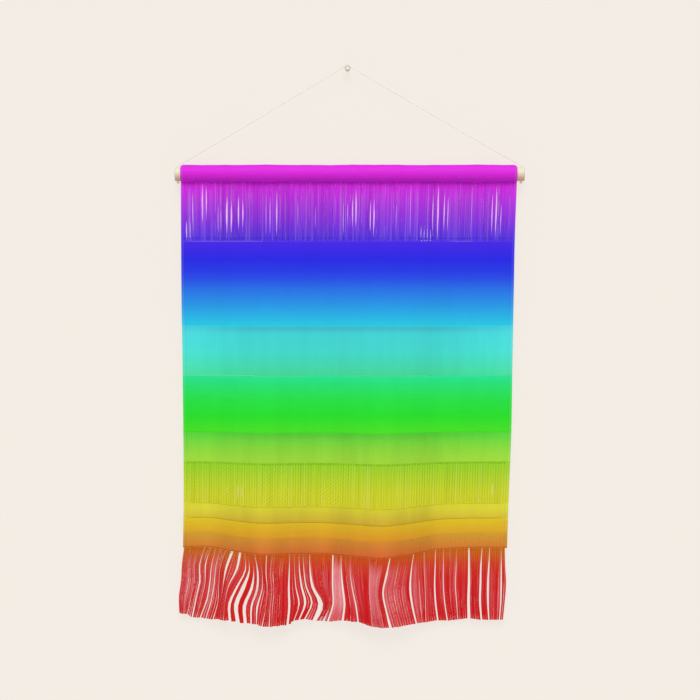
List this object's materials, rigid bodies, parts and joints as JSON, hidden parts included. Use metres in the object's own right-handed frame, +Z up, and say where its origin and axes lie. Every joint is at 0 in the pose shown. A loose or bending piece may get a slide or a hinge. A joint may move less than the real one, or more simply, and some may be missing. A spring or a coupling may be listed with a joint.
{
  "type": "textile wall hanging with dowel rod and wall peg",
  "caption": "Woven wall hanging in a rainbow gradient with a fringed hem, its rod pocket on a wooden dowel that a string hangs from a wall peg.",
  "frame": {"origin": "centre of the wall peg's flat back face, on the wall", "axes": "+Z up, +Y into the wall, +X to the right as seen by a viewer facing the wall"},
  "size_m": [0.3959, 0.0243, 0.6372],
  "materials": {
    "woven_cloth": "printed matte weave, violet at the top through blue, cyan, green and yellow to orange at the hem",
    "fringe_yarn": "matte yarn, brown-orange at the hem to red at the tips",
    "dowel_wood": "sanded pale birch",
    "string": "fine pale twisted string",
    "peg_wood": "pale, smooth, turned"
  },
  "bodies": {
    "root": {"cloth": "woven_cloth", "fringe": "fringe_yarn", "dowel": "dowel_wood", "hanging_string": "string", "string_knot_left": "string", "string_knot_right": "string", "wall_peg": "peg_wood"}
  },
  "joints": []
}
